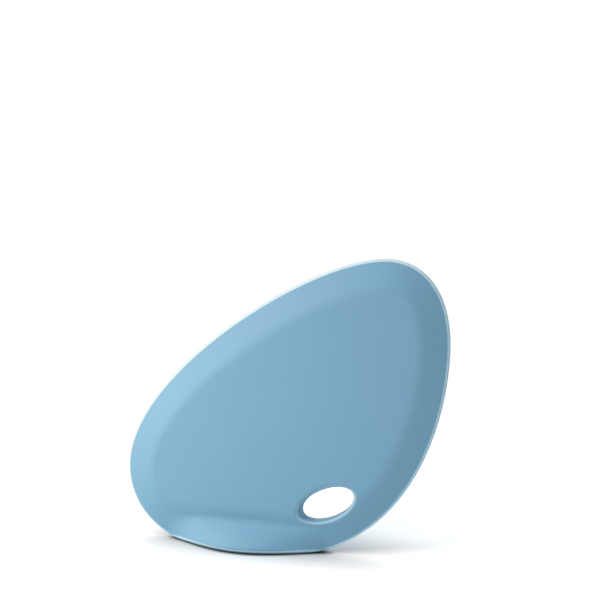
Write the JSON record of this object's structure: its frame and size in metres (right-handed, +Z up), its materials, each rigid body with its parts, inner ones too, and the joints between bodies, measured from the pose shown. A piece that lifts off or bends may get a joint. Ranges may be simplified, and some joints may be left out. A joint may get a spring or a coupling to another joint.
{
  "type": "bowl scraper",
  "caption": "Egg-shaped silicone bowl scraper with a thin flexible lip, a stiff panel over a nylon core, an oval finger hole and a lens-shaped foot that it stands on.",
  "frame": {"origin": "under the middle of the blade's width and thickness, on the surface that the foot stands on", "axes": "+X to the right seen from the front, towards the brow of the egg, +Y from the front face to the back face, +Z up"},
  "size_m": [0.1228, 0.0242, 0.11],
  "materials": {
    "silicone": "satin light blue silicone",
    "nylon": "natural moulded nylon"
  },
  "bodies": {
    "root": {"silicone_body": "silicone", "nylon_core": "nylon"}
  },
  "joints": []
}
